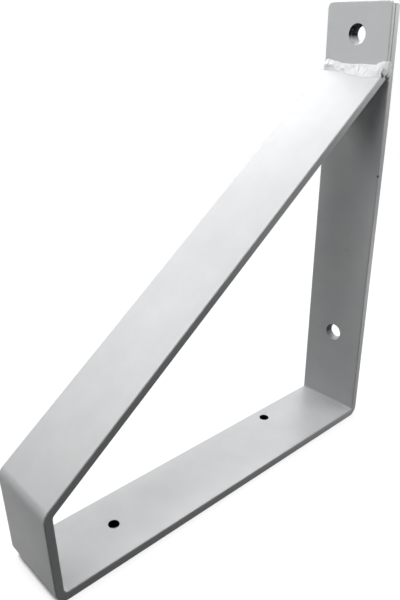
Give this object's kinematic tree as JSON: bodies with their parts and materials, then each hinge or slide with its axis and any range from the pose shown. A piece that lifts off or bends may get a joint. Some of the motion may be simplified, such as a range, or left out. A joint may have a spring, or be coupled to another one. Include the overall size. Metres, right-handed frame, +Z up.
{
  "type": "shelf bracket",
  "caption": "Wall bracket folded from one flat steel bar into a closed loop, with a sloping brace, a raised front lip and a welded doubling plate at the top of the wall leg.",
  "frame": {"origin": "on the wall face of the wall leg, midway between the two wall fixing holes and in the middle of the bar's width", "axes": "+Z up along the wall leg, +Y into the wall so the bracket stands out towards -Y, X across the bar's width"},
  "size_m": [0.0514, 0.2789, 0.308],
  "materials": {
    "paint": "smooth satin light grey paint on steel",
    "weld_paint": "light grey paint over a rippled weld bead, a little glossier"
  },
  "bodies": {
    "root": {"bent_strip": "paint", "top_plate": "paint", "weld_bead": "weld_paint"}
  },
  "joints": []
}
